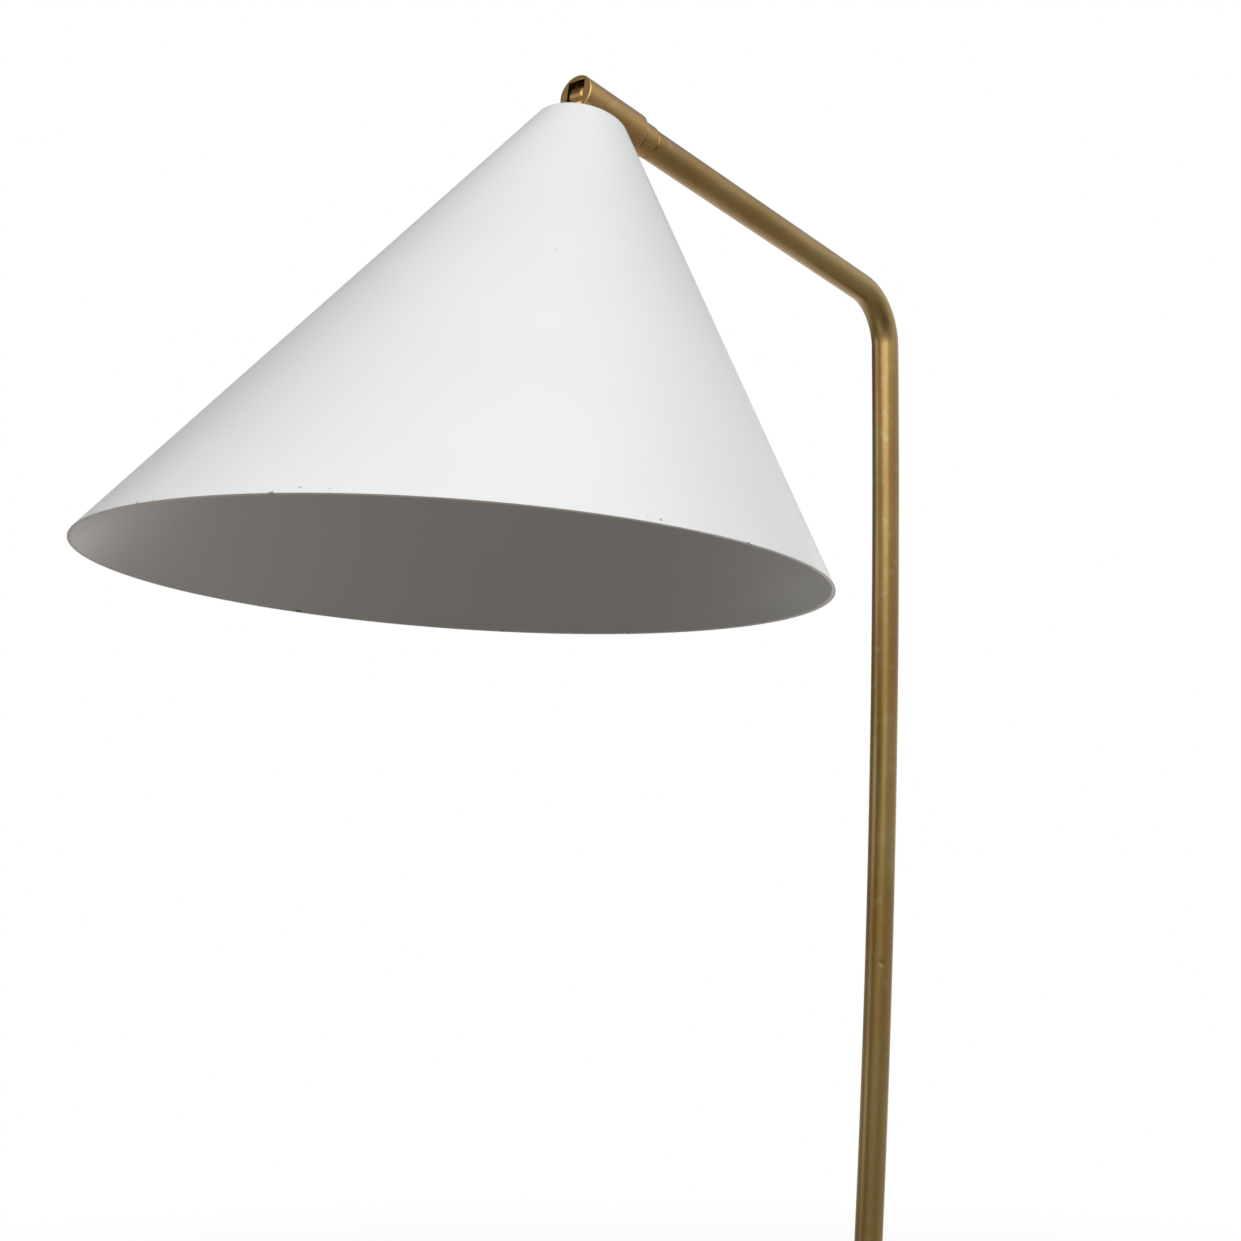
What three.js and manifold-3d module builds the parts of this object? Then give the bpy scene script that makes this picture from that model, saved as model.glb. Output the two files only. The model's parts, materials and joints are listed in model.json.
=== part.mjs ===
// Floor lamp with a bent brass stem, a slanted cone shade on a slotted knuckle, and a tripod base.
// Millimetres, +Z up. The arm lies in the XZ plane and reaches towards -X; the floor is z = 0.
import * as THREE from 'three';
import { mergeVertices } from 'three/addons/utils/BufferGeometryUtils.js';
import Module from 'manifold-3d';

const wasm = await Module();
wasm.setup();

// Driving dimensions -------------------------------------------------------------------------
const RAD = Math.PI / 180;
const GAP = 0.3;                    // working clearance between neighbouring pieces

const CORNER_HEIGHT = 1340;         // where the arm's line meets the stem's line
const ARM_RISE = 10.3 * RAD;        // the arm climbs outwards by this much
const STEM_LEAN = 0.3 * RAD;        // the stem's lean where it leaves the bend
const BOW_RADIUS = 5250;            // the stem is a long shallow bow
const BEND_RADIUS = 32;
const TUBE_RADIUS = 8;
const TUBE_WALL = 1.2;

const TUBE_END = 229.6;             // along the arm, measured from the corner
const HEAD_START = 240.6;
const HEAD_END = 287;
const HEAD_RADIUS = 10.2;
const COLLAR_RADIUS = 8.6;
const SLOT_START = 268;
const SLOT_WIDTH = 10.6;
const SLOT_ROOF = 7;
const PIVOT_AT = 282;
const PIN_RADIUS = 1.5;

const SHADE_AT = 278;               // where the shade's axis crosses the arm's axis
const SHADE_TILT = 15.5 * RAD;
const SHADE_HALF_ANGLE = 31 * RAD;
const SHADE_APEX = 23;              // height of the cone's apex over the arm's axis, along the shade's axis
const SHADE_TOP = -14.5;            // flat top of the shade
const SHADE_FILLET = 3;
const SHADE_WALL = 0.8;
const SHADE_PLATE = 1;              // the flat top is a little thicker than the wall
const RIM_AT = -256.5;              // where the slanted rim plane crosses the shade's axis
const RIM_SLANT = 10.7 * RAD;
const NIPPLE_RADIUS = 5;

const COUPLER_AT = 640;             // along the stem, measured from the end of the bend
const HUB_AT = 895;
const HUB_RADIUS = 24;
const LEG_RADIUS = 7;
const LEG_WALL = 1.2;
const LEG_TOP_OFFSET = 10;          // leg axis to hub axis, at the leg's top
const FOOT_SPREAD = 265;            // foot to hub axis, along the floor
const FOOT_RADIUS = 8.4;

// Finishes -----------------------------------------------------------------------------------
const finish = (color, roughness, metalness) => () => (
  new THREE.MeshStandardMaterial({ color, roughness, metalness })
);
const brass = finish(0x8b7349, 0.38, 1);
const whitePaint = finish(0xe8eceb, 0.5, 0);
const steel = finish(0x9a9a98, 0.4, 1);
const blackResin = finish(0x1d1b19, 0.55, 0);
const rubber = finish(0x1a1a1a, 0.85, 0);
const fibre = finish(0x3a3430, 0.8, 0);
const porcelain = finish(0xece8df, 0.3, 0);
const opalGlass = finish(0xf3f1ea, 0.25, 0);
const nickel = finish(0xb9b6ae, 0.35, 1);

// Solids -------------------------------------------------------------------------------------
function outward(geometry) {
  const bare = geometry.clone();
  bare.deleteAttribute('normal');
  bare.deleteAttribute('uv');
  const mesh = mergeVertices(bare, 1e-4);
  const corner = [new THREE.Vector3(), new THREE.Vector3(), new THREE.Vector3()];
  const index = Array.from(mesh.index.array);
  const kept = [];
  let volume = 0;
  for (let i = 0; i < index.length; i += 3) {
    const [a, b, c] = index.slice(i, i + 3);
    if (a === b || b === c || c === a) continue;
    kept.push(a, b, c);
    corner.forEach((point, k) => point.fromBufferAttribute(mesh.attributes.position, index[i + k]));
    volume += corner[0].dot(corner[1].clone().cross(corner[2]));
  }
  mesh.setIndex(volume < 0 ? kept.reverse() : kept);
  return mesh;
}

function toManifold(geometry) {
  const mesh = outward(geometry);
  return new wasm.Manifold(new wasm.Mesh({
    numProp: 3,
    vertProperties: Float32Array.from(mesh.attributes.position.array),
    triVerts: Uint32Array.from(mesh.index.array),
  }));
}

function toGeometry(manifold) {
  const mesh = manifold.getMesh();
  const geometry = new THREE.BufferGeometry();
  geometry.setAttribute('position', new THREE.BufferAttribute(Float32Array.from(mesh.vertProperties), 3));
  geometry.setIndex(Array.from(mesh.triVerts));
  return geometry;
}

function join(first, ...others) {
  return toGeometry(others.reduce((body, other) => body.add(toManifold(other)), toManifold(first)));
}

function cut(first, ...others) {
  return toGeometry(others.reduce((body, other) => body.subtract(toManifold(other)), toManifold(first)));
}

// A solid of revolution about Z. The profile lists [radius, z]; off the axis it closes on itself.
function turned(profile, segments = 24) {
  const points = profile.map(([radius, z]) => new THREE.Vector2(radius, z));
  if (profile[0][0] > 0) points.push(points[0].clone());
  return outward(new THREE.LatheGeometry(points, segments).rotateX(Math.PI / 2));
}

function rod(radius, low, high, chamfer = 0, segments = 24) {
  const ends = chamfer ? [
    [radius - chamfer, low], [radius, low + chamfer], [radius, high - chamfer], [radius - chamfer, high],
  ] : [[radius, low], [radius, high]];
  return turned([[0, low], ...ends, [0, high]], segments);
}

function sleeve(inner, outer, low, high, chamfer = 0, segments = 24) {
  const wall = chamfer ? [
    [outer - chamfer, low], [outer, low + chamfer], [outer, high - chamfer], [outer - chamfer, high],
  ] : [[outer, low], [outer, high]];
  return turned([[inner, low], ...wall, [inner, high]], segments);
}

function arc(centreRadius, centreZ, radius, from, to, steps) {
  return Array.from({ length: steps + 1 }, (_, i) => {
    const angle = from + (to - from) * i / steps;
    return [centreRadius + radius * Math.cos(angle), centreZ + radius * Math.sin(angle)];
  });
}

function block(x, y, z, centre) {
  return new THREE.BoxGeometry(x, y, z).translate(...centre);
}

function hexNut(acrossFlats, inner, low, high) {
  const outline = new THREE.Shape();
  for (let i = 0; i < 6; i += 1) {
    const angle = (i + 0.5) * Math.PI / 3;
    const reach = acrossFlats / 2 / Math.cos(Math.PI / 6);
    const point = [reach * Math.cos(angle), reach * Math.sin(angle)];
    if (i === 0) outline.moveTo(...point);
    else outline.lineTo(...point);
  }
  outline.closePath();
  outline.holes.push(new THREE.Path().absarc(0, 0, inner, 0, 2 * Math.PI, true));
  const options = { depth: high - low, bevelEnabled: false, curveSegments: 12 };
  return outward(new THREE.ExtrudeGeometry(outline, options).translate(0, 0, low));
}

// A headless screw along Z with a slot across its top.
function grubScrew(radius, length) {
  return cut(rod(radius, 0, length, 0.3, 14), block(2 * radius + 1, 0.6, 1.6, [0, 0, length]));
}

// The tube's centreline ----------------------------------------------------------------------
// Headings are measured from straight down, positive towards +X.
const ARM_HEADING = Math.PI / 2 - ARM_RISE;
const BEND_TURN = ARM_HEADING + STEM_LEAN;
const BEND_LENGTH = BEND_TURN * BEND_RADIUS;
const BEND_REACH = BEND_RADIUS * Math.tan(BEND_TURN / 2);

function armPoint(along) {
  const x = -along * Math.cos(ARM_RISE);
  return new THREE.Vector3(x, 0, CORNER_HEIGHT + along * Math.sin(ARM_RISE));
}

function arcPoint(start, radius, fromHeading, toHeading) {
  const dx = radius * (Math.cos(toHeading) - Math.cos(fromHeading));
  const dz = radius * (Math.sin(toHeading) - Math.sin(fromHeading));
  return new THREE.Vector3(start.x + dx, 0, start.z + dz);
}

const BEND_END = arcPoint(armPoint(BEND_REACH), BEND_RADIUS, ARM_HEADING, -STEM_LEAN);

// run is the distance from the end of the bend: positive down the stem, negative round the bend.
function heading(run) {
  if (run >= 0) return -STEM_LEAN - run / BOW_RADIUS;
  return Math.min(-STEM_LEAN - run / BEND_RADIUS, ARM_HEADING);
}

function centreline(run) {
  if (run >= 0) return arcPoint(BEND_END, BOW_RADIUS, -STEM_LEAN, heading(run));
  if (run >= -BEND_LENGTH) return arcPoint(BEND_END, BEND_RADIUS, -STEM_LEAN, heading(run));
  return armPoint(BEND_REACH - run - BEND_LENGTH);
}

// The centreline through chosen stations, so that straight stretches take few steps.
class TubePath extends THREE.Curve {
  constructor(stations) {
    super();
    this.stations = stations;
  }

  runAt(t) {
    return this.stations[Math.round(t * (this.stations.length - 1))];
  }

  getPointAt(t) {
    return centreline(this.runAt(t));
  }

  getTangentAt(t) {
    const angle = heading(this.runAt(t));
    return new THREE.Vector3(Math.sin(angle), 0, -Math.cos(angle));
  }
}

function tubeAlong(stations) {
  const section = new THREE.Shape().absarc(0, 0, TUBE_RADIUS, 0, 2 * Math.PI);
  section.holes.push(new THREE.Path().absarc(0, 0, TUBE_RADIUS - TUBE_WALL, 0, 2 * Math.PI, true));
  return outward(new THREE.ExtrudeGeometry(section, {
    steps: stations.length - 1,
    extrudePath: new TubePath(stations),
    bevelEnabled: false,
    curveSegments: 9,
  }));
}

function evenly(from, to, steps) {
  return Array.from({ length: steps + 1 }, (_, i) => from + (to - from) * i / steps);
}

// Frames -------------------------------------------------------------------------------------
const lamp = new THREE.Group();

// Local Z runs out along the arm from the corner, local X is up and local Y is the lamp's Y.
const armFrame = new THREE.Group();
armFrame.position.copy(armPoint(0));
armFrame.rotation.y = -ARM_HEADING;
lamp.add(armFrame);

// Local Z runs up the shade's axis from its crossing with the arm's axis.
const shadeFrame = new THREE.Group();
shadeFrame.position.copy(armPoint(SHADE_AT));
shadeFrame.rotation.y = SHADE_TILT;
lamp.add(shadeFrame);

function stemFrame(run) {
  const frame = new THREE.Group();
  frame.position.copy(centreline(run));
  frame.rotation.y = -heading(run);
  lamp.add(frame);
  return frame;
}

function place(frame, name, geometry, material) {
  const mesh = new THREE.Mesh(geometry, material());
  mesh.name = name;
  frame.add(mesh);
  return mesh;
}

// Stem ---------------------------------------------------------------------------------------
function buildStem() {
  const ring = 3;
  const plug = 28;
  const bore = TUBE_RADIUS - TUBE_WALL;
  const upper = [
    BEND_REACH - TUBE_END - BEND_LENGTH,
    ...evenly(-BEND_LENGTH, 0, 10),
    ...evenly(0, COUPLER_AT - ring - GAP, 8).slice(1),
  ];
  place(lamp, 'stem_upper_tube', tubeAlong(upper), brass);

  const lower = evenly(COUPLER_AT + ring + GAP, HUB_AT - 5, 4);
  place(lamp, 'stem_lower_tube', tubeAlong(lower), brass);

  const coupler = turned([
    [3, -plug], [bore - GAP - 0.8, -plug], [bore - GAP, -plug + 1.5], [bore - GAP, -ring],
    [TUBE_RADIUS, -ring], [TUBE_RADIUS + 0.6, -ring + 0.6], [TUBE_RADIUS + 0.6, ring - 0.6], [TUBE_RADIUS, ring],
    [bore - GAP, ring], [bore - GAP, plug - 1.5], [bore - GAP - 0.8, plug], [3, plug],
  ]);
  place(stemFrame(COUPLER_AT), 'stem_coupler', coupler, brass);
}

// Swivel and slotted head --------------------------------------------------------------------
function buildSwivel() {
  const bore = TUBE_RADIUS - TUBE_WALL;
  const spigotRadius = 5;
  const collarStart = TUBE_END + GAP;
  const collarEnd = HEAD_START - 1;
  const pinReach = 8.2;
  const screwAt = (collarStart + collarEnd) / 2;

  const spigot = turned([
    [2.2, TUBE_END - 24], [bore - GAP - 1, TUBE_END - 24], [bore - GAP, TUBE_END - 23], [bore - GAP, collarStart],
    [COLLAR_RADIUS - 0.9, collarStart], [COLLAR_RADIUS, collarStart + 0.9],
    [COLLAR_RADIUS, collarEnd - 0.5], [COLLAR_RADIUS - 0.5, collarEnd],
    [spigotRadius, collarEnd], [spigotRadius, SLOT_START - 10], [spigotRadius - 1.2, SLOT_START - 10],
    [spigotRadius - 1.2, SLOT_START - 5.6], [spigotRadius, SLOT_START - 5.6], [spigotRadius, SLOT_START - 4.5],
    [2.2, SLOT_START - 4.5],
  ]);
  const screwHole = rod(1.9, 0, COLLAR_RADIUS + 1, 0, 14).rotateX(-Math.PI / 2).translate(0, 0, screwAt);
  place(armFrame, 'swivel_spigot', cut(spigot, screwHole), brass);

  const collarScrew = grubScrew(1.6, 5).rotateX(-Math.PI / 2).translate(0, 3.2, screwAt);
  place(armFrame, 'collar_screw', collarScrew, steel);

  const washer = sleeve(spigotRadius + GAP, COLLAR_RADIUS - 0.1, collarEnd + 0.2, HEAD_START - 0.2);
  place(armFrame, 'swivel_washer', washer, fibre);

  const blank = turned([
    [0, HEAD_START], [HEAD_RADIUS - 2, HEAD_START], ...arc(HEAD_RADIUS - 2, HEAD_START + 2, 2, -Math.PI / 2, 0, 3),
    [HEAD_RADIUS, HEAD_END - 0.7], [HEAD_RADIUS - 0.7, HEAD_END], [0, HEAD_END],
  ], 36);
  const spigotHole = rod(spigotRadius + GAP, HEAD_START - 1, SLOT_START - 4);
  const wireHole = rod(2, SLOT_START - 5, SLOT_START + 1, 0, 16);
  const slotDepth = HEAD_END - SLOT_START + 1;
  const slotHeight = HEAD_RADIUS + SLOT_ROOF + 1;
  const slot = block(slotHeight, SLOT_WIDTH, slotDepth, [SLOT_ROOF - slotHeight / 2, 0, SLOT_START + slotDepth / 2]);
  const pinHole = rod(PIN_RADIUS + 0.2, -HEAD_RADIUS - 1, pinReach + 0.2, 0, 16)
    .rotateX(Math.PI / 2).translate(0, 0, PIVOT_AT);
  const stopHole = rod(1.9, 0, HEAD_RADIUS + 1, 0, 14)
    .rotateX(-Math.PI / 2).translate(0, 0, SLOT_START - 7.75);
  place(armFrame, 'head_knuckle', cut(blank, spigotHole, wireHole, slot, pinHole, stopHole), brass);

  const stopScrew = grubScrew(1.6, 5).rotateX(-Math.PI / 2).translate(0, 4.6, SLOT_START - 7.75);
  place(armFrame, 'head_stop_screw', stopScrew, steel);

  const pin = rod(PIN_RADIUS, -HEAD_RADIUS + 0.7, pinReach, 0.3, 16)
    .rotateX(Math.PI / 2).translate(0, 0, PIVOT_AT);
  place(armFrame, 'pivot_pin', pin, steel);
}

// Shade mount: an eye in the slot, cranked outwards, on a flange and a threaded nipple -----------
function buildShadeMount() {
  const eyeRadius = 5.3;
  const eyeWidth = SLOT_WIDTH - 0.8;
  const crank = PIVOT_AT - SHADE_AT;
  const crankAngle = SHADE_TILT - ARM_RISE;
  const eyeAt = [-crank * Math.cos(crankAngle), 0, -crank * Math.sin(crankAngle)];
  const washerLow = SHADE_TOP + GAP;
  const washerHigh = washerLow + 0.8;
  const flangeLow = washerHigh + GAP;
  const nippleEnd = SHADE_TOP - 20;

  const round = 2;
  const eye = turned([
    [0, -eyeWidth / 2], ...arc(eyeRadius - round, -eyeWidth / 2 + round, round, -Math.PI / 2, 0, 3),
    ...arc(eyeRadius - round, eyeWidth / 2 - round, round, 0, Math.PI / 2, 3), [0, eyeWidth / 2],
  ]).rotateX(Math.PI / 2).translate(...eyeAt);
  const neckHeight = flangeLow + 1 - eyeAt[2];
  const neck = block(8, eyeWidth - 1, -neckHeight, [eyeAt[0] + 0.8, 0, eyeAt[2] + neckHeight / 2]);
  const flange = rod(8, flangeLow, flangeLow + 1.5, 0.3);
  const nipple = rod(NIPPLE_RADIUS, nippleEnd, flangeLow + 0.5);
  const bore = rod(2.5, nippleEnd - 1, flangeLow - 1);
  const pinHole = rod(PIN_RADIUS + 0.2, -eyeWidth, eyeWidth, 0, 16).rotateX(Math.PI / 2).translate(...eyeAt);
  const blank = join(eye, neck, flange, nipple);
  place(shadeFrame, 'shade_tongue', cut(blank, bore, pinHole), brass);

  place(shadeFrame, 'shade_gasket', sleeve(NIPPLE_RADIUS + GAP, 9.5, washerLow, washerHigh), fibre);
  const inside = SHADE_TOP - SHADE_PLATE;
  const innerWasher = sleeve(NIPPLE_RADIUS + GAP, 14, inside - GAP - 1.5, inside - GAP);
  place(shadeFrame, 'shade_inner_washer', innerWasher, steel);
  const lockNut = hexNut(15, NIPPLE_RADIUS + GAP, inside - 2 * GAP - 6, inside - 2 * GAP - 1.5);
  place(shadeFrame, 'shade_lock_nut', lockNut, steel);
}

// Shade: a spun cone with a small flat top, its rim trimmed on a slant ------------------------------
function buildShade() {
  const slope = Math.tan(SHADE_HALF_ANGLE);
  const radiusAt = (z, inset) => (SHADE_APEX - z) * slope - inset / Math.cos(SHADE_HALF_ANGLE);
  const bottom = RIM_AT - 50;
  const side = Math.PI / 2 - SHADE_HALF_ANGLE;

  // The fillet between the flat top and the cone, kept inset from both by its own radius.
  const shoulder = (top, inset, fillet, steps) => {
    const z = top - fillet;
    return arc(radiusAt(z, inset + fillet), z, fillet, Math.PI / 2, Math.PI / 2 - side, steps);
  };
  const profile = [
    [NIPPLE_RADIUS + GAP, SHADE_TOP], ...shoulder(SHADE_TOP, 0, SHADE_FILLET, 4),
    [radiusAt(bottom, 0), bottom], [radiusAt(bottom, SHADE_WALL), bottom],
    ...shoulder(SHADE_TOP - SHADE_PLATE, SHADE_WALL, SHADE_FILLET - 1, 3).reverse(),
    [NIPPLE_RADIUS + GAP, SHADE_TOP - SHADE_PLATE],
  ];
  const trim = block(900, 900, 200, [0, 0, -100]).rotateY(-RIM_SLANT).translate(0, 0, RIM_AT);
  place(shadeFrame, 'shade', cut(turned(profile, 64), trim), whitePaint);
}

// Lampholder with a turn switch, and a bulb --------------------------------------------------------
function buildLampholder() {
  const top = SHADE_TOP - 11.5;         // crown of the metal cup
  const cupRadius = 19;
  const cupEnd = top - 36;
  const switchAt = top - 27;
  const bodyTop = top - 9;
  const bodyEnd = top - 66;
  const cavityTop = top - 41;

  const cup = turned([
    [NIPPLE_RADIUS + GAP, top], [11, top], ...arc(14, top - 5, 5, Math.PI / 2, 0, 3),
    [cupRadius, top - 5.2], [cupRadius, cupEnd], [cupRadius - 0.8, cupEnd],
    ...arc(14, top - 5, 4.2, 0, Math.PI / 2, 3), [11, top - 0.8], [NIPPLE_RADIUS + GAP, top - 0.8],
  ], 28);
  const sideHole = rod(3.4, 0, 40, 0, 16).rotateY(-Math.PI / 2).translate(0, 0, switchAt);
  place(shadeFrame, 'socket_cup', cut(cup, sideHole), brass);
  place(shadeFrame, 'socket_cup_nut', hexNut(14, NIPPLE_RADIUS + GAP, top - 5.4, top - 1.2), steel);

  const body = cut(
    turned([
      [0, bodyTop], [13, bodyTop], [16.5, bodyTop - 3], [17.6, bodyTop - 6], [17.6, cupEnd - 1],
      [cupRadius, cupEnd - 1.4], [cupRadius, bodyEnd + 1], [cupRadius - 1, bodyEnd], [0, bodyEnd],
    ], 28),
    rod(14.6, bodyEnd - 1, cavityTop, 0, 28),
    rod(3, 9, 40, 0, 16).rotateY(-Math.PI / 2).translate(0, 0, switchAt),
  );
  place(shadeFrame, 'socket_body', body, blackResin);
  const shell = turned([
    [13.5, bodyEnd + 1], [14.2, bodyEnd + 1], [14.2, cavityTop - 1.4],
    [9, cavityTop - 1.4], [9, cavityTop - 2], [13.5, cavityTop - 2],
  ], 28);
  place(shadeFrame, 'socket_screw_shell', shell, nickel);
  const contact = block(11, 4.5, 0.5, [0, 0, cavityTop - 0.6]);
  const button = rod(2.4, cavityTop - 3.2, cavityTop - 0.5, 0.3, 16);
  place(shadeFrame, 'socket_contact', join(contact, button), nickel);

  const shaft = rod(2.6, 10, 28.5, 0.2, 16).rotateY(-Math.PI / 2).translate(0, 0, switchAt);
  place(shadeFrame, 'switch_shaft', shaft, brass);
  place(shadeFrame, 'switch_knob', fluted().rotateY(-Math.PI / 2).translate(0, 0, switchAt), blackResin);

  buildBulb(cavityTop - 3.5);
}

// A fluted knob on the shaft, its axis along Z before it is turned.
function fluted() {
  const outline = new THREE.Shape();
  const points = 60;
  for (let i = 0; i <= points; i += 1) {
    const angle = 2 * Math.PI * i / points;
    const reach = 5.6 + 0.35 * Math.cos(12 * angle);
    const point = [reach * Math.cos(angle), reach * Math.sin(angle)];
    if (i === 0) outline.moveTo(...point);
    else outline.lineTo(...point);
  }
  const grip = new THREE.ExtrudeGeometry(outline, { depth: 9, bevelEnabled: false });
  return cut(grip.translate(0, 0, 22), rod(2.9, 21, 29.4, 0, 16));
}

function buildBulb(tip) {
  const capTop = tip - 3;
  const capLength = 24;
  const capEnd = capTop - capLength;
  place(shadeFrame, 'bulb_tip', turned([[0, tip], [3, tip], [4.4, tip - 1.2], [4.4, tip - 2.6], [0, tip - 2.6]], 20), nickel);

  // The screw cap: rounded threads down a thin can that is open at its glass end.
  const threads = 5;
  const steps = threads * 2;
  const wave = Array.from({ length: steps + 1 }, (_, i) => (
    [12.75 - 0.4 * Math.cos(Math.PI * i), capTop - 3 - i * (capLength - 6) / steps]
  ));
  const cap = turned([
    [4.8, capTop], [9.5, capTop], ...wave, [12.4, capEnd], [11.4, capEnd], [11.4, capTop - 3], [4.8, capTop - 2],
  ]);
  place(shadeFrame, 'bulb_cap', cap, nickel);
  const insulator = sleeve(1, 4.4, capTop - 2, capTop - 0.1, 0, 20);
  place(shadeFrame, 'bulb_insulator', insulator, porcelain);

  // The opal envelope: a narrow neck that opens into a ball.
  const ball = 30;
  const length = 82;
  const ballAt = capEnd - length + ball;
  const envelope = (inset) => [
    [12.9 - inset, capEnd - GAP], [13.6 - inset, capEnd - 7], [17.5 - inset, capEnd - 17],
    ...arc(0, ballAt, ball - inset, 0.62, -Math.PI / 2, 8),
  ];
  const outer = envelope(0);
  const inner = envelope(0.9).reverse();
  place(shadeFrame, 'bulb_glass', outward(new THREE.LatheGeometry(
    [...outer, ...inner, outer[0]].map(([radius, z]) => new THREE.Vector2(Math.max(radius, 0), z)), 24,
  ).rotateX(Math.PI / 2)), opalGlass);
}

// Tripod base --------------------------------------------------------------------------------------
const hubCentre = centreline(HUB_AT);
const LEGS = { front: Math.PI, left: Math.PI / 3, right: -Math.PI / 3 };

function hubPoint(radius, angle, z) {
  return new THREE.Vector3(hubCentre.x + radius * Math.cos(angle), radius * Math.sin(angle), z);
}

// Local Z runs up the leg from the point where its axis meets the floor.
function legFrame(angle) {
  const foot = hubPoint(FOOT_SPREAD, angle, 0);
  const head = hubPoint(LEG_TOP_OFFSET, angle, hubCentre.z - 3);
  const frame = new THREE.Group();
  frame.position.copy(foot);
  frame.quaternion.setFromUnitVectors(new THREE.Vector3(0, 0, 1), head.clone().sub(foot).normalize());
  frame.userData.length = head.distanceTo(foot);
  lamp.add(frame);
  return frame;
}

function inHubFrame(geometry, frame) {
  return geometry.applyQuaternion(frame.quaternion)
    .translate(frame.position.x - hubCentre.x, frame.position.y, frame.position.z - hubCentre.z);
}

function buildBase() {
  const hubFrame = new THREE.Group();
  hubFrame.position.copy(hubCentre);
  lamp.add(hubFrame);

  const legBores = [];
  const screwBores = [];
  const screwRadius = 2.2;
  for (const [name, angle] of Object.entries(LEGS)) {
    const frame = legFrame(angle);
    const { length } = frame.userData;
    legBores.push(inHubFrame(rod(LEG_RADIUS + GAP, length - 60, length + GAP), frame));
    buildLeg(name, frame, length);
    const turn = (geometry) => geometry.rotateY(Math.PI / 2).rotateZ(angle).translate(0, 0, -4);
    screwBores.push(turn(rod(screwRadius, 14, HUB_RADIUS + 2, 0, 14)));
    place(hubFrame, `leg_screw_${name}`, turn(grubScrew(screwRadius - GAP, 3).translate(0, 0, 20.4)), steel);
  }

  const blank = turned([
    [0, 24], [10.8, 24], [11.5, 23.3], [11.5, 21.5], ...arc(11.5, 9, 12.5, Math.PI / 2, 0, 5).slice(1),
    [HUB_RADIUS, -7], [HUB_RADIUS - 1, -8.5], [13, -22], [11, -24], [0, -24],
  ], 30);
  const stemBore = rod(TUBE_RADIUS + GAP, 5 - GAP, 40).rotateY(-heading(HUB_AT));
  const stemScrewBore = rod(screwRadius, 0, HUB_RADIUS + 6, 0, 14).rotateY(Math.PI / 2).translate(0, 0, 13);
  const wireBore = rod(6.3, -25, -14);
  const wirePassage = rod(3, -20, 8, 0, 16);
  const hub = cut(blank, stemBore, stemScrewBore, wireBore, wirePassage, ...legBores, ...screwBores);
  place(hubFrame, 'hub_body', hub, brass);

  const stemScrew = grubScrew(screwRadius - GAP, 9).rotateY(Math.PI / 2).translate(11.6, 0, 13);
  place(hubFrame, 'stem_set_screw', stemScrew, steel);

  const bushing = turned([
    [3.2, -27.5], [8.5, -27.5], [9.5, -26.5], [9.5, -24 - GAP], [6, -24 - GAP], [6, -15], [3.2, -15],
  ]);
  place(hubFrame, 'cord_bushing', bushing, blackResin);
}

function buildLeg(name, frame, length) {
  const padTop = 10;
  const bore = LEG_RADIUS - LEG_WALL;
  place(frame, `leg_tube_${name}`, sleeve(bore, LEG_RADIUS, padTop + GAP, length), brass);
  place(frame, `leg_ferrule_${name}`, sleeve(LEG_RADIUS + GAP, FOOT_RADIUS, padTop + GAP, padTop + 14), brass);

  // The rubber foot plugs into the leg and is trimmed flat where it meets the floor.
  const pad = turned([
    [0, -9], [FOOT_RADIUS, -9], [FOOT_RADIUS, padTop - 0.8], [FOOT_RADIUS - 0.8, padTop],
    [bore - GAP, padTop], [bore - GAP, padTop + 15], [bore - GAP - 1, padTop + 16], [0, padTop + 16],
  ]);
  const floor = block(80, 80, 40, [0, 0, -20]).applyQuaternion(frame.quaternion.clone().invert());
  place(frame, `foot_pad_${name}`, cut(pad, floor), rubber);
}

buildStem();
buildSwivel();
buildShadeMount();
buildShade();
buildLampholder();
buildBase();

// Stand the lamp with the middle of its bounding box over the origin.
lamp.updateMatrixWorld(true);
const bounds = new THREE.Box3().setFromObject(lamp, true);
lamp.position.set(-(bounds.min.x + bounds.max.x) / 2, -(bounds.min.y + bounds.max.y) / 2, -bounds.min.z);

export default lamp;
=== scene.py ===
"""The looks of a floor lamp: a bowed brass stem and arm, a slotted swivel head, a white cone shade
with a slanted rim, a lampholder with a bulb inside it, and a tripod base.

Shapes are in millimetres in each piece's own frame. Places are in metres, and come from the frame.
"""
import json
import math

import bmesh
import bpy
from mathutils import Matrix, Vector


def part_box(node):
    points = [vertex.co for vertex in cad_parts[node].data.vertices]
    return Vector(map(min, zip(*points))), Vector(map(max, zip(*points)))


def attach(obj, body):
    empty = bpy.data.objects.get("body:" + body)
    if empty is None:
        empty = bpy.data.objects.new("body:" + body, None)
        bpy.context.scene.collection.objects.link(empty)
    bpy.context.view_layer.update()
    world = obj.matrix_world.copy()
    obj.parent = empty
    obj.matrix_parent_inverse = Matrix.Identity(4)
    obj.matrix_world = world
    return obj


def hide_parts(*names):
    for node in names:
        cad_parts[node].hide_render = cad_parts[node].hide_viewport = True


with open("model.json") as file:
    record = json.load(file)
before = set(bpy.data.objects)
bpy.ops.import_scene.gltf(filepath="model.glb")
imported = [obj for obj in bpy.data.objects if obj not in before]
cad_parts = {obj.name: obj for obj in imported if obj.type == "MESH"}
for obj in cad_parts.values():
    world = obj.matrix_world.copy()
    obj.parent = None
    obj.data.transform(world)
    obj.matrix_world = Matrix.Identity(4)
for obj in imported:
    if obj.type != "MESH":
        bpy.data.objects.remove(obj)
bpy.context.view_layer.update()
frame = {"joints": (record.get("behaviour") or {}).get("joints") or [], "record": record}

MM = 0.001
TURN = 2 * math.pi
QUARTER = math.pi / 2
BODIES = frame["record"]["behaviour"]["bodies"]
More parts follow.
